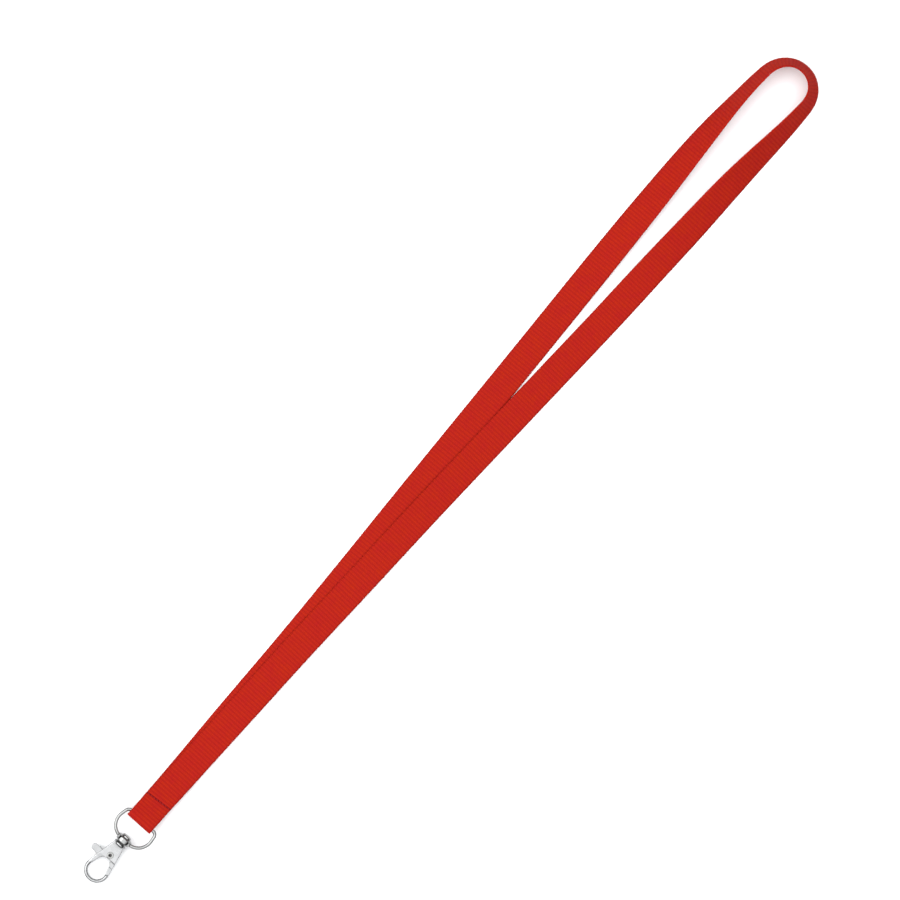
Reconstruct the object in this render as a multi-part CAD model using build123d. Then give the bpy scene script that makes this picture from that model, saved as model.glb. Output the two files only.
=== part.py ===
from build123d import *
import math
import os

# A neck lanyard lying on a table: one woven strap sewn round the bar of a D-shaped eye, and a swivelling
# trigger hook. Millimetres. +X runs from the hook to the neck loop, +Y is the side of the hook's thumb tab,
# and +Z is up.
# Places are written from the strap's folded end, and ROW_SHIFT then centres the whole box over the origin.

# Strap
STRAP_WIDTH = 15.0
STRAP_THICK = 0.8
LAYER_STEP = 0.84          # between the middles of two sewn layers
SECTION_STEP = 6.0         # length of one flat facet of a strap solid, along the strap
TURN_STEP = 2.5            # the same where the strap turns round the neck
FOLD_SLACK = 0.3           # between the eye's bar and the fold round it

# Seam across the sewn layers
SEAM_X = 12.64             # from the bar, along the sewn end
SEAM_SLANT = 0.08
THREAD_R = 0.17
STITCH_LENGTH = 1.3
STITCH_PITCH = 1.75
STITCH_COUNT = 8

# Eye: a D bent from round wire, with a boss cast on the middle of its bow
WIRE_R = 0.9
BOW_DEPTH = 13.6           # bar's middle to the bow's lowest wire middle
BAR_HALF = 9.45            # the D's corners, before rounding
SHOULDER_HALF = 10.6
SHOULDER_DROP = 7.0
BOW_HALF = 7.4
BAR_CORNER_R = 2.4         # small enough for the bar to be straight inside the fold
SHOULDER_R = 8.0
BOW_R = 7.5
BOSS_R = 4.15
BOSS_LENGTH = 3.1
BOSS_ROUND = 0.8

# Swivel stud
STUD_R = 1.5
STUD_CLEARANCE = 0.05
STUD_HEAD_R = 2.5
STUD_HEAD_LENGTH = 1.2
STUD_IN_NECK = 2.3

# Hook, in its own frame: origin in the collar, +X to the tip, +Y to the thumb tab
COLLAR_DROP = 16.5        # bar's middle to the collar's middle
COLLAR_R = 3.4
COLLAR_HALF = 0.65
NECK_R = 2.7
NECK_HALF_WIDTH = 3.05
RING_X, RING_Y = 17.6, -1.0
RING_OUTER_R = 6.6
RING_INNER_R = 4.7
RING_HALF_HEIGHT = 1.2
NOSE_ANGLE = -114          # where the round end stops, about its middle, before the gate's end is cut from it
CHEEK_HALF = 2.05
CHEEK_END_X = 9.1
CHEEK_FADE_X = 20.5        # the cheek on the tab's side sinks into the round end by here
CHEEK_OPENING = (13.0, -1.3, 3.9)
SLOT_START_X = 2.8
SLOT_END_X = 12.7
SLOT_HALF = 0.95

# Gate lever and its rivet
PIVOT_X, PIVOT_Y = 7.2, -0.6
LEVER_HALF = 0.85
HUB_R = 2.6
TAB_TOP_X, TAB_BOTTOM_X, TAB_REACH = 8.1, 11.5, 9.6
GATE_OPENING = (13.4, -0.4, 3.9)
GATE_REACH = 10.5          # pivot to the gate's end, which is round about the pivot, as is the nose facing it
GATE_GAP = 0.15
GATE_STEP_X = 11.9
GATE_ROOT_HALF = 1.45      # half the gate's thickness up to the step, between the cheeks' ends and the bar
RIVET_R = 1.2
RIVET_HOLE_R = 0.9
RIVET_RIM_R = 1.75
RIVET_RIM = 0.35
SPRING_WIRE_R = 0.15
SPRING_COIL_R = 1.6
SPRING_POCKET_R = 1.95
SPRING_POCKET_DEPTH = 1.1
SPRING_TURNS = 2

# How the metal lies: bar held in the strap's fold, boss and hook tip on the table
BAR_X, BAR_Y, BAR_Z = 2.5, -0.65, 5.8
LINK_PITCH = 6.64
LINK_YAW = 3.2
STRAP_PITCH = 8.6          # slope of the sewn end down to the table

ROW_SHIFT = Location((-234.61, -3.725, 0))

# Middle line of the strap from the seam, along the front layer, round the neck and back under it to the seam
STRAP_ROUTE = [
    (15.2, -0.05, 4.73), (22, -0.1, 3.79), (31, -0.25, 2.71), (42, -0.3, 1.67), (56, -0.45, 1.26),
    (80, -0.7, 1.26), (118, -1.0, 1.26), (165, -2.1, 1.26), (213, -3.0, 1.17), (262, -4.5, 1.0),
    (306, -5.8, 0.8), (346, -7.1, 0.62), (380, -7.6, 1.9), (408, -8.4, 3.1), (432, -8.7, 4.2),
    (452, -9.5, 5.4), (469, -10.6, 6.25), (483, -11.2, 6.7), (496.5, -11.0, 7.05), (504.3, -3.4, 7.2),
    (504.4, 7.6, 7.25), (496.6, 15.5, 7.15), (483.5, 16.8, 7.0), (469, 17.2, 6.75), (453, 17.3, 5.95),
    (434, 16.8, 4.9), (410, 15.7, 3.6), (380, 14.4, 2.1), (346, 12.8, 0.85), (306, 10.9, 0.4),
    (262, 9.0, 0.4), (213, 6.9, 0.4), (165, 4.6, 0.4), (118, 2.7, 0.4), (80, 1.9, 0.4),
    (56, 1.25, 0.4), (42, 0.75, 0.79), (31, 0.4, 1.83), (22, 0.2, 2.92), (11.4, 0.1, 4.444),
]
NECK_FROM_X = 432          # the neck turn's solid is what lies beyond this
FLAT_FROM_X, FLAT_TO_X = 66, 284   # the back layer lies flat on the table between these
LIE_X, FREE_X = 165, 225   # the front layer lies flat on the back one up to the first, leans past the second
HALF_DIAGONAL = math.hypot(STRAP_WIDTH, STRAP_THICK) / 2
DIAGONAL_ANGLE = math.degrees(math.atan2(STRAP_THICK, STRAP_WIDTH))


def corner_radii(points):
    """The largest tangent arc that each inner corner of a route has room for."""
    radii = []
    for a, b, c in zip(points, points[1:], points[2:]):
        before, after = Vector(*b) - Vector(*a), Vector(*c) - Vector(*b)
        shorter = min(before.length, after.length)
        radii.append(0.45 * shorter / math.tan(math.radians(before.get_angle(after)) / 2))
    return radii


def bank(place):
    """Roll of the strap at a place on its middle line, where its outer edge rests on the table."""
    share = min(1, max(0, (place.X - LIE_X) / (FREE_X - LIE_X)))
    lean = math.degrees(math.asin(min(1, place.Z / HALF_DIAGONAL))) - DIAGONAL_ANGLE
    return share * share * (3 - 2 * share) * lean


def strap_section(route, at):
    """The strap's cross-section at a length along the route, with its inner edge raised by the bank."""
    place, along = route.position_at(at / route.length), route.tangent_at(at / route.length)
    level = Vector(0, 0, 1).cross(along).normalized()
    across = level.rotate(Axis((0, 0, 0), along), bank(place))
    return Plane(origin=place, x_dir=across, z_dir=along) * Rectangle(STRAP_WIDTH, STRAP_THICK)


def strap_solid(route, start, end, step):
    """A closed solid of the strap between two lengths along the route."""
    count = math.ceil((end - start) / step)
    stops = [start + (end - start) * i / count for i in range(count + 1)]
    return loft([strap_section(route, at) for at in stops], ruled=True)


def length_at(route, x, outward):
    """Length along the route where it passes x, on the way out or on the way back."""
    low, high = (0, route.length / 2) if outward else (route.length / 2, route.length)
    for _ in range(40):
        middle = (low + high) / 2
        beyond = route.position_at(middle / route.length).X > x
        low, high = (low, middle) if beyond == outward else (middle, high)
    return low


def flat_run(route):
    """The back layer's stretch that lies on the table, cut from one flat sheet."""
    steps = 12
    start, end = length_at(route, FLAT_TO_X, False), length_at(route, FLAT_FROM_X, False)
    left, right = [], []
    for i in range(steps + 1):
        share = (start + (end - start) * i / steps) / route.length
        place, along = route.position_at(share), route.tangent_at(share)
        side = Vector(-along.Y, along.X).normalized() * (STRAP_WIDTH / 2)
        left.append((place.X + side.X, place.Y + side.Y))
        right.append((place.X - side.X, place.Y - side.Y))
    return extrude(make_face(Polyline(*left, *reversed(right), close=True)), STRAP_THICK)


def ring_fold():
    """The strap's end, folded round the bar and laid back under itself past the seam."""
    half, seam_x = STRAP_THICK / 2, SEAM_X
    inner, outer = WIRE_R + FOLD_SLACK, WIRE_R + FOLD_SLACK + STRAP_THICK
    bend_x, straight_x, tail_x = -0.6, 1.9, 16.5
    outside = Polyline(
        (seam_x, LAYER_STEP + half), (straight_x, outer), (bend_x, outer)
    ) + ThreePointArc((bend_x, outer), (bend_x - outer, 0), (bend_x, -outer))
    outside += Polyline(
        (bend_x, -outer), (straight_x, -outer), (seam_x, -LAYER_STEP - half), (tail_x, -LAYER_STEP - half)
    )
    inside = Polyline(
        (tail_x, -LAYER_STEP - half), (tail_x, -LAYER_STEP + half), (seam_x, -LAYER_STEP + half),
        (straight_x, -inner), (bend_x, -inner),
    ) + ThreePointArc((bend_x, -inner), (bend_x - inner, 0), (bend_x, inner))
    inside += Polyline(
        (bend_x, inner), (straight_x, inner), (seam_x, LAYER_STEP - half), (seam_x, LAYER_STEP + half)
    )
    profile = make_face(Plane.XZ * (outside + inside))
    return extrude(profile, STRAP_WIDTH / 2, both=True)


def stitch_row(height):
    """Short stitches across the sewn layers, lying on a face at this height from the bar's plane."""
    stitch = Rot(90, 0, 0) * Cylinder(THREAD_R, STITCH_LENGTH)
    row = []
    for i in range(STITCH_COUNT):
        y = (i - (STITCH_COUNT - 1) / 2) * STITCH_PITCH
        row.append(Pos(SEAM_X - SEAM_SLANT * y, y, height) * Rot(0, 0, math.degrees(SEAM_SLANT)) * stitch)
    return Compound(children=row)


def d_eye():
    """Round wire bent to a D, with a bored boss on the middle of its bow."""
    half_line = FilletPolyline(
        (0, 0), (0, BAR_HALF), (-SHOULDER_DROP, SHOULDER_HALF), (-BOW_DEPTH, BOW_HALF), (-BOW_DEPTH, 0),
        radius=[BAR_CORNER_R, SHOULDER_R, BOW_R],
    )
    half_wire = sweep(Plane.XZ * Circle(WIRE_R), path=half_line)
    boss = Rot(0, 90, 0) * Cylinder(BOSS_R, BOSS_LENGTH)
    boss = Pos(-BOW_DEPTH, 0, 0) * fillet(boss.edges(), BOSS_ROUND)
    bore = Pos(-BOW_DEPTH, 0, 0) * Rot(0, 90, 0) * Cylinder(STUD_R + STUD_CLEARANCE, BOSS_LENGTH + 2)
    return half_wire + mirror(half_wire, about=Plane.XZ) + boss - bore


def swivel_stud():
    """Headed stud: its head bears on the boss and its shank is fixed in the hook's neck."""
    head_base = -BOW_DEPTH + BOSS_LENGTH / 2 + STUD_CLEARANCE
    shank_end = -COLLAR_DROP - STUD_IN_NECK
    head = Rot(0, 90, 0) * Cylinder(STUD_HEAD_R, STUD_HEAD_LENGTH)
    head = fillet(head.edges().sort_by(Axis.X)[-1], STUD_HEAD_LENGTH * 0.6)
    shank = Rot(0, 90, 0) * Cylinder(STUD_R, head_base - shank_end)
    return Pos(head_base + STUD_HEAD_LENGTH / 2, 0, 0) * head + Pos((head_base + shank_end) / 2, 0, 0) * shank


def disc(x, y, radius):
    return Pos(x, y) * Circle(radius)


def span(x_from, x_to, y_from, y_to):
    return Pos((x_from + x_to) / 2, (y_from + y_to) / 2) * Rectangle(x_to - x_from, y_to - y_from)


def hull_of(*shapes):
    return make_hull([edge for shape in shapes for edge in shape.edges()])


def hook_outline():
    """The hook's plan: its neck and its round end, joined by their common tangents."""
    neck = span(0.3, 0.6, -NECK_HALF_WIDTH, NECK_HALF_WIDTH)
    return hull_of(neck, disc(RING_X, RING_Y, RING_OUTER_R))


def opening(x, y, radius):
    """The hook's opening: its round end, narrowed to a smaller arc at the pivot's end."""
    return hull_of(disc(x, y, radius), disc(RING_X, RING_Y, RING_INNER_R))


def thickness_profile():
    """The hook from its edge: thick at the neck and pivot, thin at the round end."""
    upper = [
        (0, 2.6), (2, 2.25), (4, CHEEK_HALF), (9.5, CHEEK_HALF), (12, 1.6),
        (15.2, RING_HALF_HEIGHT), (CHEEK_FADE_X + 0.5, 0.2),
    ]
    lower = [(x, -z) for x, z in reversed(upper)]
    return extrude(Plane.XZ * make_face(Polyline(*upper, *lower, close=True)), 12, both=True)


def ring_wire():
    """The round end: an oval bar bent from the nose round the tip, then straight up to the cheeks."""
    middle_r = (RING_OUTER_R + RING_INNER_R) / 2
    side_angle, lead_length = 99, 5
    section = Ellipse(RING_HALF_HEIGHT, (RING_OUTER_R - RING_INNER_R) / 2)
    arc = CenterArc((RING_X, RING_Y), middle_r, side_angle, NOSE_ANGLE - side_angle)
    lead = Line((arc @ 0) - (arc % 0) * lead_length, arc @ 0)
    bend = sweep(Plane(origin=arc @ 0, x_dir=(0, 0, 1), z_dir=arc % 0) * section, path=arc)
    return bend + sweep(Plane(origin=lead @ 0, x_dir=(0, 0, 1), z_dir=lead % 0) * section, path=lead)


def hook_body():
    """Collar and shoulder, two cheeks with the lever's slot between them, and the round end."""
    plan = hook_outline() - opening(*CHEEK_OPENING)
    plan -= span(CHEEK_END_X, 30, -12, RING_Y - 0.3)
    plan -= span(CHEEK_FADE_X, 30, -12, 12)
    cheeks = extrude(plan, 4, both=True) & thickness_profile()
    cheeks -= extrude(span(SLOT_START_X, SLOT_END_X, -12, 12), SLOT_HALF, both=True)
    collar = Rot(0, 90, 0) * Cylinder(COLLAR_R, 2 * COLLAR_HALF)
    collar = fillet(collar.edges(), COLLAR_HALF * 0.85)
    shoulder_top = BOW_DEPTH + BOSS_LENGTH / 2 + 0.2 - COLLAR_DROP
    shoulder = Pos(shoulder_top / 2, 0, 0) * Rot(0, 90, 0) * Cylinder(NECK_R, -shoulder_top)
    gate_sweep = disc(PIVOT_X, PIVOT_Y, GATE_REACH + GATE_GAP) & span(CHEEK_END_X, 30, -12, RING_Y - 2)
    body = cheeks + (ring_wire() - extrude(gate_sweep, 4, both=True)) + collar + shoulder
    body -= Pos(shoulder_top, 0, 0) * Rot(0, 90, 0) * Cylinder(STUD_R, 2 * (STUD_IN_NECK - shoulder_top))
    return body - Pos(PIVOT_X, PIVOT_Y) * Cylinder(RIVET_R, 10)


def gate_lever():
    """Thumb tab, hub and gate arm in one plate, with the gate bar as thick as the hook's round end."""
    free = opening(*GATE_OPENING)
    outline = hook_outline() & disc(PIVOT_X, PIVOT_Y, GATE_REACH)
    arm = outline & span(5.5, RING_X, -12, 2.0)
    tab_half = (TAB_BOTTOM_X - TAB_TOP_X) / 2
    tab = span(TAB_TOP_X, TAB_BOTTOM_X, 0, TAB_REACH)
    tab = fillet(tab.vertices().group_by(Axis.Y)[-1], tab_half * 0.75)
    plate = extrude(arm + disc(PIVOT_X, PIVOT_Y, HUB_R) + tab - free, LEVER_HALF, both=True)
    gate = outline - free
    root = extrude(gate & span(CHEEK_END_X + GATE_GAP, GATE_STEP_X, -12, -3.0), GATE_ROOT_HALF, both=True)
    bar = extrude(gate & span(GATE_STEP_X, RING_X, -12, -3.0), RING_HALF_HEIGHT - 0.05, both=True)
    lever = plate + root + bar
    lever -= Pos(PIVOT_X, PIVOT_Y) * Cylinder(RIVET_R + STUD_CLEARANCE, 10)
    pocket = Cylinder(SPRING_POCKET_R, SPRING_POCKET_DEPTH)
    return lever - Pos(PIVOT_X, PIVOT_Y, LEVER_HALF - SPRING_POCKET_DEPTH / 2) * pocket


def pivot_rivet():
    """Hollow rivet through both cheeks, with a turned rim at each end."""
    barrel = Cylinder(RIVET_R, 2 * CHEEK_HALF)
    rim = Cylinder(RIVET_RIM_R, RIVET_RIM)
    rim = fillet(rim.edges().sort_by(Axis.Z)[-1], RIVET_RIM * 0.7)
    rims = Pos(0, 0, CHEEK_HALF + RIVET_RIM / 2) * rim
    rims += mirror(rims, about=Plane.XY)
    return Pos(PIVOT_X, PIVOT_Y) * (barrel + rims - Cylinder(RIVET_HOLE_R, 10))


def gate_spring():
    """Torsion spring coiled round the rivet in the lever's pocket, its legs left short."""
    pitch = 0.36
    coil = Helix(pitch=pitch, height=pitch * SPRING_TURNS, radius=SPRING_COIL_R)
    wire = sweep(Plane(coil ^ 0) * Circle(SPRING_WIRE_R), path=coil, is_frenet=True)
    return Pos(PIVOT_X, PIVOT_Y, LEVER_HALF - pitch * SPRING_TURNS - SPRING_WIRE_R - 0.02) * wire


def back_layer(route):
    """The under layer from the neck turn to its sewn end: leaning, flat on the table, then rising to the seam."""
    turn_end = length_at(route, NECK_FROM_X, False)
    flat_start = length_at(route, FLAT_TO_X, False)
    flat_end = length_at(route, FLAT_FROM_X, False)
    leaning = strap_solid(route, turn_end, flat_start, SECTION_STEP)
    rising = strap_solid(route, flat_end, route.length, SECTION_STEP / 2)
    return leaning + flat_run(route) + rising


def lanyard():
    """Every node by name, in the row's frame."""
    route = FilletPolyline(*STRAP_ROUTE, radius=corner_radii(STRAP_ROUTE))
    turn_start, turn_end = length_at(route, NECK_FROM_X, True), length_at(route, NECK_FROM_X, False)
    bar = Pos(BAR_X, 0, BAR_Z) * Rot(0, STRAP_PITCH, 0)
    link = Pos(BAR_X, BAR_Y, BAR_Z) * Rot(0, 0, -LINK_YAW) * Rot(0, -LINK_PITCH, 0)
    hook = link * Pos(-COLLAR_DROP, 0, 0) * Rot(0, 180, 0)
    thread_height = LAYER_STEP + STRAP_THICK / 2 + THREAD_R + 0.02
    print("strap route", round(route.length, 1), "mm")
    nodes = {
        "webbing_ring_fold": bar * ring_fold(),
        "webbing_front_run": strap_solid(route, 0, turn_start, SECTION_STEP),
        "webbing_neck_turn": strap_solid(route, turn_start, turn_end, TURN_STEP),
        "webbing_back_run": back_layer(route),
        "seam_needle_thread": bar * stitch_row(thread_height),
        "seam_bobbin_thread": bar * stitch_row(-thread_height),
        "d_eye": link * d_eye(),
        "swivel_stud": link * swivel_stud(),
        "hook_body": hook * hook_body(),
        "gate_lever": hook * gate_lever(),
        "pivot_rivet": hook * pivot_rivet(),
        "gate_spring": hook * gate_spring(),
    }
    return {name: ROW_SHIFT * shape for name, shape in nodes.items()}


os.makedirs("parts", exist_ok=True)
for name, shape in lanyard().items():
    export_step(shape, f"parts/{name}.step")
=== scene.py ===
"""Looks of a woven neck lanyard with a D-shaped eye and a swivelling trigger hook.

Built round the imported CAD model, in metres and in its frame: +X from the hook to the neck loop, +Z up, and
the table at z = 0.
"""

import math

import bpy
import numpy as np
from mathutils import Matrix, Vector


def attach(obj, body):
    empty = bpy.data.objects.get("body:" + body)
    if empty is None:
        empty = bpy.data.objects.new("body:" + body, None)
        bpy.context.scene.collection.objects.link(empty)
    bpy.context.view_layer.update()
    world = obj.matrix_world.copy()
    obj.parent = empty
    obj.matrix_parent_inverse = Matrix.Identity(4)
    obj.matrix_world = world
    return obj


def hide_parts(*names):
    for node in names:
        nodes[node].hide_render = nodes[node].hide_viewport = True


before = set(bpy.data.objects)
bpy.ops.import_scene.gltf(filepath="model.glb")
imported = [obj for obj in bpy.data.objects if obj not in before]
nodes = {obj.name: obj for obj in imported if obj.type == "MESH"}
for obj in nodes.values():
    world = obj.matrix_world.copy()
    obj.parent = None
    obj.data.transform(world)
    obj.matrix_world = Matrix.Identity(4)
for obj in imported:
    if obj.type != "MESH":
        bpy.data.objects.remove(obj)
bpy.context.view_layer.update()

# ---------------------------------------------------------------- the strap's line

ROW_SHIFT = Vector((-0.23461, -0.003725, 0))   # from the strap's folded end to the frame's origin
STRAP_ROUTE = [
    (0.0152, -0.00005, 0.00473), (0.022, -0.0001, 0.00379), (0.031, -0.00025, 0.00271),
    (0.042, -0.0003, 0.00167), (0.056, -0.00045, 0.00126), (0.080, -0.0007, 0.00126),
    (0.118, -0.0010, 0.00126), (0.165, -0.0021, 0.00126), (0.213, -0.0030, 0.00117),
    (0.262, -0.0045, 0.0010), (0.306, -0.0058, 0.0008), (0.346, -0.0071, 0.00062),
    (0.380, -0.0076, 0.0019), (0.408, -0.0084, 0.0031), (0.432, -0.0087, 0.0042),
    (0.452, -0.0095, 0.0054), (0.469, -0.0106, 0.00625), (0.483, -0.0112, 0.0067),
    (0.4965, -0.0110, 0.00705), (0.5043, -0.0034, 0.0072), (0.5044, 0.0076, 0.00725),
    (0.4966, 0.0155, 0.00715), (0.4835, 0.0168, 0.0070), (0.469, 0.0172, 0.00675),
    (0.453, 0.0173, 0.00595), (0.434, 0.0168, 0.0049), (0.410, 0.0157, 0.0036),
    (0.380, 0.0144, 0.0021), (0.346, 0.0128, 0.00085), (0.306, 0.0109, 0.0004),
    (0.262, 0.0090, 0.0004), (0.213, 0.0069, 0.0004), (0.165, 0.0046, 0.0004),
    (0.118, 0.0027, 0.0004), (0.080, 0.0019, 0.0004), (0.056, 0.00125, 0.0004),
    (0.042, 0.00075, 0.00079), (0.031, 0.0004, 0.00183), (0.022, 0.0002, 0.00292),
    (0.0114, 0.0001, 0.004444),
]
STRAP_WIDTH, STRAP_THICK = 0.015, 0.0008
LIE_X, FREE_X = 0.165, 0.225       # the strap lies flat up to the first and leans on its edge past the second
HALF_DIAGONAL = math.hypot(STRAP_WIDTH, STRAP_THICK) / 2
DIAGONAL_ANGLE = math.atan2(STRAP_THICK, STRAP_WIDTH)

# The sewn end: a fold round the eye's bar, in a frame whose +X runs up the strap from the bar
BAR_MIDDLE = ROW_SHIFT + Vector((0.0025, 0, 0.0058))
STRAP_PITCH = math.radians(8.6)    # slope of the sewn end down to the table
BAR_PLACE = Matrix.Translation(BAR_MIDDLE) @ Matrix.Rotation(STRAP_PITCH, 4, "Y")
FOLD_ROUTE = [
    (0.0127, 0, 0.00084), (0.0075, 0, 0.00122), (0.0028, 0, 0.00162), (-0.0006, 0, 0.0018),
    (-0.0024, 0, 0.0012), (-0.0024, 0, -0.0012), (-0.0006, 0, -0.0018), (0.0028, 0, -0.00162),
    (0.0075, 0, -0.00122), (0.0127, 0, -0.00084), (0.0165, 0, -0.00084),
]

# Weave: warp yarns that float over one weft in turn, so that each weft shows as a rib of side-by-side floats
RIB_PITCH = 0.00182
FLOAT_PITCH = 0.00063
RIB_HEIGHT = 0.00007
SELVEDGE_WAVE = 0.00006            # how far the edges draw in between ribs
SELVEDGE_ROUND = 0.45              # share of the thickness lost at the very edge
SELVEDGE_POWER = 14                # the higher, the nearer to the edge the rounding starts
ACROSS = 12                        # facets across each face
STRAP_ROWS, FOLD_ROWS = 5, 10      # facets along each rib of the free strap and of the tight fold

# Seam: a slanted row of stitches that pulls the layers together
SEAM_X = 0.01264                   # from the bar, along the sewn end
SEAM_SLANT, SLANT_REACH = 0.08, 0.004
SEAM_REACH, SEAM_DEPTH = 0.0006, 0.00022
LAYER_STEP = 0.00084               # between the middles of two sewn layers
FOLD_TAIL = 0.0038                 # from the seam to the cut end under it
STITCH_COUNT, STITCH_PITCH, THREAD_R = 8, 0.00175, 0.00017
STITCH_SINK, STITCH_LEAN = 0.00035, 0.00012    # how far a stitch's ends go in, and lean out of the row
STITCH_REACH = 0.46                # middle of a stitch to its end, as a share of the pitch
STITCH_TAPER = 0.3                 # share of its thickness that a stitch loses at its ends
STITCH_BED = 0.7                   # thread's middle above the face, as a share of its radius
STITCH_STEPS, THREAD_FACETS = 12, 8


def spline_line(name, points):
    """A smooth line through space, read back from the NURBS spline that has these control points."""
    curve = bpy.data.curves.new(name, "CURVE")
    curve.dimensions = "3D"
    curve.resolution_u = 40
    spline = curve.splines.new("NURBS")
    spline.points.add(len(points) - 1)
    for point, place in zip(spline.points, points):
        point.co = (*place, 1)
    spline.order_u = 3
    spline.use_endpoint_u = True
    holder = bpy.data.objects.new(name, curve)
    bpy.context.scene.collection.objects.link(holder)
    bpy.context.view_layer.update()
    mesh = bpy.data.meshes.new_from_object(holder)
    line = np.array([v.co for v in mesh.vertices], float)
    bpy.data.objects.remove(holder)
    bpy.data.curves.remove(curve)
    bpy.data.meshes.remove(mesh)
    return line


def lengths_along(line):
    """Length from the line's start to each of its points."""
    return np.concatenate([[0], np.cumsum(np.linalg.norm(np.diff(line, axis=0), axis=1))])


def strap_bank(x, z):
    """How far the strap leans, where its outer edge rests on the table."""
    share = np.clip((x - LIE_X) / (FREE_X - LIE_X), 0, 1)
    lean = np.arcsin(np.clip(z / HALF_DIAGONAL, 0, 1)) - DIAGONAL_ANGLE
    return share * share * (3 - 2 * share) * lean


def leaning(centre, tangent):
    """The strap's direction across itself along its line: level, with the inner edge raised by its bank."""
    level = np.cross([0, 0, 1], tangent)
    level /= np.linalg.norm(level, axis=1)[:, None]
    lean = strap_bank(centre[:, 0] - ROW_SHIFT.x, centre[:, 2])[:, None]
    return level * np.cos(lean) + np.cross(tangent, level) * np.sin(lean)


def along_bar(centre, tangent):
    """The fold's direction across itself: always along the eye's bar, because the fold turns right over."""
    return np.tile(np.array(BAR_PLACE.col[1][:3]), (len(centre), 1))


def tape(name, line, across_at, rows_per_rib, seams):
    """Woven tape along a line: ribs, rounded selvedges, closed ends, and a UV map that counts ribs and floats.

    seams lists the lengths along it where the slanted row of stitches pulls its faces in and skews its ribs.
    """
    along = lengths_along(line)
    total = along[-1]
    rib_count = round(total / RIB_PITCH)
    rows = np.linspace(0, total, rib_count * rows_per_rib + 1)
    centre = np.stack([np.interp(rows, along, line[:, i]) for i in range(3)], 1)
    tangent = np.gradient(centre, axis=0)
    tangent /= np.linalg.norm(tangent, axis=1)[:, None]
    across = across_at(centre, tangent)
    normal = np.cross(tangent, across)

    valley = np.cos(np.pi * rows / total * rib_count) ** 2
    pinch = sum(SEAM_DEPTH * np.exp(-((rows - at) / SEAM_REACH) ** 2) for at in seams)
    skew = sum(SEAM_SLANT * np.exp(-((rows - at) / SLANT_REACH) ** 2) for at in seams)
    half_thick = STRAP_THICK / 2 - RIB_HEIGHT * valley - pinch
    half_wide = STRAP_WIDTH / 2 - SELVEDGE_WAVE * valley
    share = np.linspace(-1, 1, ACROSS + 1)
    rounding = 1 - SELVEDGE_ROUND * np.abs(share) ** SELVEDGE_POWER
    loop_across = np.concatenate([share, share[::-1]])
    loop_height = np.concatenate([rounding, -rounding[::-1]])
    count = len(loop_across)
    up_strap = np.array(BAR_PLACE.col[0][:3])
    points = (
        centre[:, None]
        + across[:, None] * (half_wide[:, None] * loop_across)[..., None]
        + normal[:, None] * (half_thick[:, None] * loop_height)[..., None]
        - up_strap * (skew[:, None] * half_wide[:, None] * loop_across)[..., None]
    )
    row = np.arange(len(rows) - 1)[:, None] * count
    here, following = np.arange(count), (np.arange(count) + 1) % count
    sides = np.stack([row + here, row + following, row + count + following, row + count + here], -1)
    step = np.arange(ACROSS)
    start = np.stack([step, count - 1 - step, count - 2 - step, step + 1], -1)
    last = (len(rows) - 1) * count
    end = np.stack([last + step, last + step + 1, last + count - 2 - step, last + count - 1 - step], -1)
    mesh = bpy.data.meshes.new(name)
    faces = np.concatenate([sides.reshape(-1, 4), start, end])
    mesh.from_pydata(points.reshape(-1, 3).tolist(), [], faces.tolist())
    corner = np.empty(len(mesh.loops), int)
    mesh.loops.foreach_get("vertex_index", corner)
    ribs = np.repeat(rows / total * rib_count, count)[corner]
    floats = np.tile(loop_across * STRAP_WIDTH / 2 / FLOAT_PITCH, len(rows))[corner]
    weave = mesh.uv_layers.new(name="weave")
    weave.data.foreach_set("uv", np.stack([ribs, floats], 1).astype(np.float32).ravel())
    mesh.polygons.foreach_set("use_smooth", np.ones(len(mesh.polygons), bool))
    mesh.update()
    piece = bpy.data.objects.new(name, mesh)
    bpy.context.scene.collection.objects.link(piece)
    return piece


def stitches(name, side):
    """One thread's row of stitches on the upper (side 1) or lower (side -1) face, each sunk at its ends."""
    steps, facets = STITCH_STEPS, THREAD_FACETS
    middle = side * (LAYER_STEP + STRAP_THICK / 2 - SEAM_DEPTH + THREAD_R * STITCH_BED)
    turn = np.linspace(0, 2 * math.pi, facets, endpoint=False)
    points, faces = [], []
    for i in range(STITCH_COUNT):
        first = len(points)
        y_middle = (i - (STITCH_COUNT - 1) / 2) * STITCH_PITCH
        for share in np.linspace(-1, 1, steps):
            y = y_middle + share * STITCH_PITCH * STITCH_REACH
            x = SEAM_X - SEAM_SLANT * y + share * STITCH_LEAN
            z = middle - side * STITCH_SINK * abs(share) ** 3
            radius = THREAD_R * (1 - STITCH_TAPER * abs(share) ** 4)
            ring = [Vector((x + radius * math.cos(t), y, z + radius * math.sin(t))) for t in turn]
            points += [BAR_PLACE @ place for place in ring]
        for step in range(steps - 1):
            for k in range(facets):
                low = first + step * facets
                after = (k + 1) % facets
                faces.append([low + k, low + after, low + facets + after, low + facets + k])
        faces.append([first + k for k in range(facets)][::-1])
        faces.append([first + (steps - 1) * facets + k for k in range(facets)])
    mesh = bpy.data.meshes.new(name)
    mesh.from_pydata(points, [], faces)
    mesh.polygons.foreach_set("use_smooth", np.ones(len(mesh.polygons), bool))
    mesh.update()
    piece = bpy.data.objects.new(name, mesh)
    bpy.context.scene.collection.objects.link(piece)
    return piece


# ---------------------------------------------------------------- materials


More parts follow.
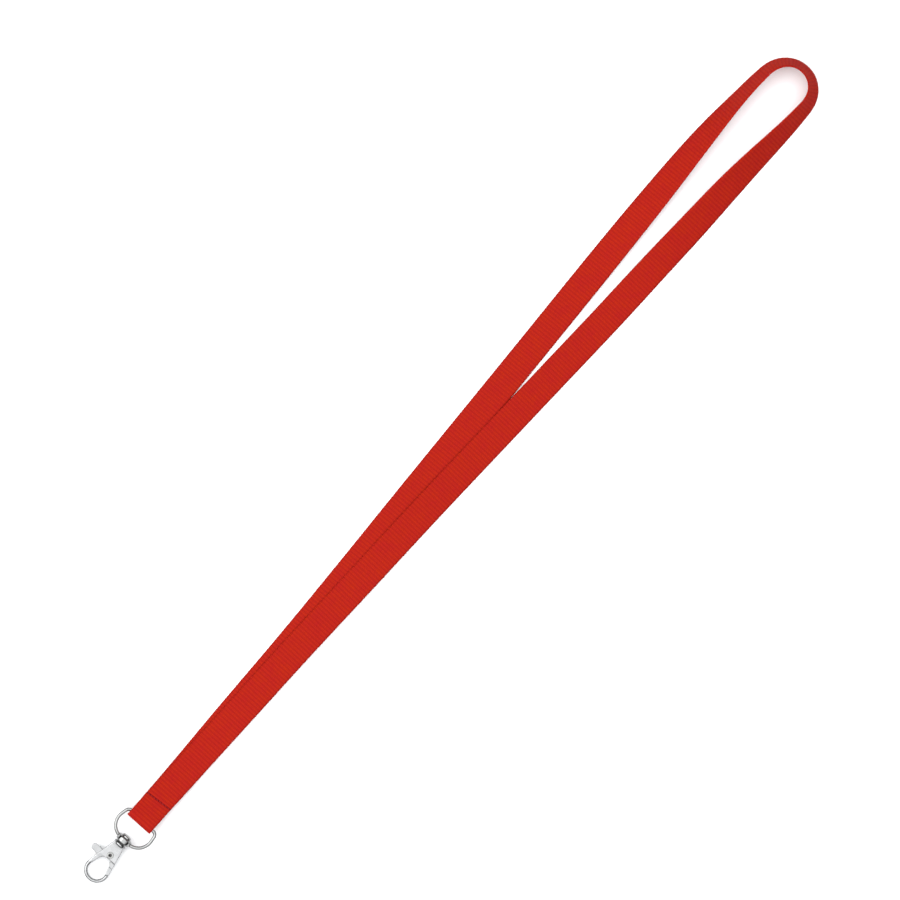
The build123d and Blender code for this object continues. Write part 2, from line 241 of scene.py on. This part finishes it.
class Nodes:
    """A material's node tree, with short calls to add and link nodes."""

    def __init__(self, name):
        self.material = bpy.data.materials.new(name)
        self.material.use_nodes = True
        self.tree = self.material.node_tree
        self.shader = next(n for n in self.tree.nodes if n.type == "BSDF_PRINCIPLED")

    def add(self, kind, inputs=None, **settings):
        node = self.tree.nodes.new("ShaderNode" + kind)
        for key, value in settings.items():
            setattr(node, key, value)
        for key, value in (inputs or {}).items():
            self.feed(node.inputs[key], value)
        return node

    def feed(self, socket, value):
        if isinstance(value, bpy.types.NodeSocket):
            self.tree.links.new(value, socket)
        else:
            socket.default_value = value

    def math(self, operation, a, b=0.0):
        return self.add("Math", {0: a, 1: b}, operation=operation).outputs[0]

    def mix(self, share, low, high):
        node = self.add("Mix", data_type="RGBA")
        self.feed(node.inputs[0], share)
        self.feed(node.inputs[6], low)
        self.feed(node.inputs[7], high)
        return node.outputs[2]

    def ramp(self, value, low, high):
        """value stretched so that low gives 0 and high gives 1."""
        node = self.add("MapRange", {"Value": value, "From Min": low, "From Max": high})
        return node.outputs[0]

    def set(self, **values):
        for key, value in values.items():
            self.feed(self.shader.inputs[key.replace("_", " ")], value)


def webbing_material():
    """Dyed polyester tape: floats of yarn with painted shade in the gaps between them and in the valleys
    between ribs, fine fibres along them, and uneven dye.
    """
    n = Nodes("webbing")
    uv = n.add("UVMap", uv_map="weave").outputs[0]
    split = n.add("SeparateXYZ", {0: uv})
    rib, cross = split.outputs[0], split.outputs[1]
    odd = n.math("MODULO", n.math("FLOOR", rib), 2.0)
    column = n.math("ADD", cross, n.math("MULTIPLY", odd, 0.5))
    arch = n.math("ABSOLUTE", n.math("SINE", n.math("MULTIPLY", rib, math.pi)))
    crown = n.math("ABSOLUTE", n.math("SINE", n.math("MULTIPLY", column, math.pi)))
    gap = n.math("SUBTRACT", 1.0, n.math("POWER", crown, 0.8))
    dash = n.math("MULTIPLY", gap, n.math("POWER", arch, 0.7))
    valley = n.math("MULTIPLY", n.math("SUBTRACT", 1.0, arch), 0.67)
    coords = n.add("TexCoord").outputs["Object"]
    dye = n.add("TexNoise", {"Vector": coords, "Scale": 160.0, "Detail": 3.0, "Roughness": 0.6}).outputs[0]
    cell = n.add("CombineXYZ", {0: n.math("FLOOR", rib), 1: n.math("FLOOR", column)}).outputs[0]
    own_hue = n.add("TexWhiteNoise", {"Vector": cell}, noise_dimensions="3D").outputs[0]
    hue = n.math("ADD", n.math("MULTIPLY", n.ramp(dye, 0.3, 0.7), 0.6), n.math("MULTIPLY", own_hue, 0.4))
    fibre_place = n.add("VectorMath", {0: uv, 1: (0.35, 9.0, 1.0)}, operation="MULTIPLY").outputs[0]
    fibre = n.add("TexNoise", {"Vector": fibre_place, "Scale": 2.0, "Detail": 2.0}).outputs[0]
    # Painted shade: a lit and a shaded copy of the dye, mixed by the gaps between floats (dash) and by the rib
    # valleys (valley)
    lit = n.mix(hue, (0.398, 0.0145, 0.010, 1), (0.432, 0.023, 0.004, 1))
    shaded = n.mix(fibre, (0.20, 0.0045, 0.007, 1), (0.265, 0.008, 0.006, 1))
    weave_with_painted_shade = n.mix(n.math("ADD", dash, valley), lit, shaded)
    out_of_crease_shade = n.ramp(rib, 0.03, 0.3)        # the seam's crease is where the rib count starts; a dark colour there paints the crease's shade
    # Painted shade in the seam's crease: the colour goes dark where the rib count starts
    colour = n.mix(out_of_crease_shade, (0.085, 0.001, 0.006, 1), weave_with_painted_shade)
    raised = n.math("SUBTRACT", 1.0, n.math("ADD", dash, valley))
    height = n.math("ADD", raised, n.math("MULTIPLY", fibre, 0.2))
    bump = n.add("Bump", {"Height": height, "Distance": 0.00012, "Strength": 0.6})
    n.set(Base_Color=colour, Normal=bump.outputs[0])
    n.set(Roughness=n.add("MapRange", {"Value": fibre, "To Min": 0.55, "To Max": 0.72}).outputs[0])
    n.set(Specular_IOR_Level=0.015)
    return n.material


def thread_material():
    n = Nodes("sewing_thread")
    coords = n.add("TexCoord").outputs["Object"]
    twist = n.add("TexWave", {"Vector": coords, "Scale": 900.0, "Distortion": 1.5}).outputs[1]
    n.set(Base_Color=n.mix(twist, (0.21, 0.005, 0.006, 1), (0.36, 0.012, 0.012, 1)))
    bump = n.add("Bump", {"Height": twist, "Distance": 0.00004, "Strength": 0.7})
    n.set(Normal=bump.outputs[0], Roughness=0.6, Specular_IOR_Level=0.25)
    return n.material


def nickel_material(name, tint, smooth, rough, grain):
    """Nickel plate: cloudy polish, a faint cast grain under it, and hairline scratches."""
    n = Nodes(name)
    coords = n.add("TexCoord").outputs["Object"]
    clouds = {"Vector": coords, "Scale": 420.0, "Detail": 4.0, "Roughness": 0.65}
    cloud = n.add("TexNoise", clouds).outputs[0]
    pits = n.add("TexNoise", {"Vector": coords, "Scale": 2600.0, "Detail": 2.0}).outputs[0]
    hairlines = (300.0, 5200.0, 900.0)
    stretched = n.add("VectorMath", {0: coords, 1: hairlines}, operation="MULTIPLY").outputs[0]
    scratch = n.add("TexNoise", {"Vector": stretched, "Scale": 1.0, "Detail": 1.0}).outputs[0]
    worn = n.ramp(scratch, 0.6, 0.78)
    rub = n.math("ADD", n.math("MULTIPLY", cloud, 0.7), n.math("MULTIPLY", worn, 0.3))
    polish = {"Value": rub, "From Min": 0.2, "From Max": 0.7, "To Min": smooth, "To Max": rough}
    dull = (*[c * 0.88 for c in tint], 1)
    n.set(Metallic=1.0, Roughness=n.add("MapRange", polish).outputs[0])
    n.set(Base_Color=n.mix(n.ramp(cloud, 0.35, 0.7), dull, (*tint, 1)))
    height = n.math("ADD", cloud, n.math("MULTIPLY", pits, 0.5))
    n.set(Normal=n.add("Bump", {"Height": height, "Distance": grain, "Strength": 0.5}).outputs[0])
    return n.material


def plain_material(name, colour, roughness):
    n = Nodes(name)
    n.set(Base_Color=(*colour, 1), Roughness=roughness, Specular_IOR_Level=0.2)
    return n.material


def dress(piece, material):
    piece.data.materials.clear()
    piece.data.materials.append(material)


# ---------------------------------------------------------------- webbing

webbing = webbing_material()
strap_line = spline_line("strap_route", [ROW_SHIFT + Vector(point) for point in STRAP_ROUTE])
strap = tape("webbing_strap", strap_line, leaning, STRAP_ROWS, [0.0])
dress(strap, webbing)
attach(strap, "strap")
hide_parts("webbing_front_run", "webbing_neck_turn", "webbing_back_run")

fold_line = spline_line("fold_route", [BAR_PLACE @ Vector(point) for point in FOLD_ROUTE])
fold_length = lengths_along(fold_line)[-1]
fold = tape("webbing_fold", fold_line, along_bar, FOLD_ROWS, [0.0, fold_length - FOLD_TAIL])
dress(fold, webbing)
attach(fold, "strap")
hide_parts("webbing_ring_fold")

# ---------------------------------------------------------------- sewing and metal

WELD_REACH = 0.000002              # joins the CAD mesh's faces along their shared edges
thread = thread_material()
for name, side, cad_name in (
    ("needle_stitches", 1, "seam_needle_thread"),
    ("bobbin_stitches", -1, "seam_bobbin_thread"),
):
    row = stitches(name, side)
    dress(row, thread)
    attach(row, "strap")
    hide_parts(cad_name)


def cast_skin(piece, facet, rounds):
    """Rounds a casting's edges: a skin of facets this size over it, smoothed this many times."""
    weld = piece.modifiers.new("weld", "WELD")
    weld.merge_threshold = WELD_REACH
    remesh = piece.modifiers.new("skin", "REMESH")
    remesh.mode = "VOXEL"
    remesh.voxel_size = facet
    remesh.use_smooth_shade = True
    smooth = piece.modifiers.new("cast_edges", "SMOOTH")
    smooth.factor = 0.5
    smooth.iterations = rounds


# Each casting: its material's name, tint, least and most roughness and grain, and then its skin
METAL = {
    "d_eye": ("plated_eye", (0.275, 0.275, 0.27), 0.06, 0.18, 0.00001, 0.00012, 6),
    "hook_body": ("plated_hook", (0.33, 0.33, 0.33), 0.16, 0.30, 0.00002, 0.00012, 26),
    "gate_lever": ("plated_lever", (0.305, 0.305, 0.305), 0.14, 0.28, 0.00002, 0.00008, 24),
    "swivel_stud": ("plated_stud", (0.275, 0.275, 0.27), 0.12, 0.28, 0.00001, 0.00008, 6),
    "pivot_rivet": ("plated_rivet", (0.275, 0.275, 0.265), 0.16, 0.34, 0.00001, 0.00006, 5),
}
for name, (*plating, facet, rounds) in METAL.items():
    dress(nodes[name], nickel_material(*plating))
    cast_skin(nodes[name], facet, rounds)
dress(nodes["gate_spring"], nickel_material("spring_wire", (0.5, 0.5, 0.5), 0.25, 0.4, 0.000005))

# ---------------------------------------------------------------- floor, light, camera

FLOOR_SIZE, FLOOR_DROP = 20, 0.00004    # the floor lies a hair below the strap, so they don't share a plane
bpy.ops.mesh.primitive_plane_add(size=FLOOR_SIZE, location=(0, 0, -FLOOR_DROP))
floor = bpy.context.object
floor.name = "floor"
dress(floor, plain_material("floor", (0.95, 0.95, 0.95), 0.9))


def studio_sky():
    """A sky that is dim at the horizon and bright overhead, so that metal shows dark edges."""
    world = bpy.data.worlds.new("studio")
    world.use_nodes = True
    sky = world.node_tree
    direction = sky.nodes.new("ShaderNodeTexCoord")
    height = sky.nodes.new("ShaderNodeSeparateXYZ")
    rise = sky.nodes.new("ShaderNodeMapRange")
    sky.links.new(direction.outputs["Generated"], height.inputs[0])
    sky.links.new(height.outputs[2], rise.inputs["Value"])
    sky.links.new(rise.outputs[0], sky.nodes["Background"].inputs["Strength"])
    rise.interpolation_type = "SMOOTHSTEP"
    for socket, value in (("From Min", 0.35), ("From Max", 0.95), ("To Min", 0.03), ("To Max", 2.62)):
        rise.inputs[socket].default_value = value
    sky.nodes["Background"].inputs["Color"].default_value = (0.97, 0.985, 1.0, 1)
    bpy.context.scene.world = world


studio_sky()
bpy.context.scene.view_settings.view_transform = "Standard"


def softbox(name, place, size, power):
    """A square light that faces the object."""
    data = bpy.data.lights.new(name, "AREA")
    data.energy = power
    data.size = size
    lamp = bpy.data.objects.new(name, data)
    lamp.location = place
    lamp.rotation_euler = (-Vector(place)).to_track_quat("-Z", "Y").to_euler()
    bpy.context.scene.collection.objects.link(lamp)


softbox("key", (-1.3, 1.5, 1.9), 2.0, 32)

# The camera looks straight down, turned so that the hook is at the lower left and the loop at the upper right
PICTURE_RIGHT = Vector((0.6648, -0.7471, 0))
VIEW_CENTRE = Vector((0.00909, 0.0042, 0))
VIEW_WIDTH = 0.4516
LENS, SENSOR = 360.0, 36.0
camera_data = bpy.data.cameras.new("camera")
camera_data.lens, camera_data.sensor_width = LENS, SENSOR
camera_data.clip_start, camera_data.clip_end = 0.05, 20
camera = bpy.data.objects.new("camera", camera_data)
up = Vector((0, 0, 1)).cross(PICTURE_RIGHT)
turn = Matrix((PICTURE_RIGHT, up, (0, 0, 1))).transposed().to_4x4()
camera.matrix_world = Matrix.Translation(VIEW_CENTRE + Vector((0, 0, VIEW_WIDTH * LENS / SENSOR))) @ turn
bpy.context.scene.collection.objects.link(camera)
bpy.context.scene.camera = camera
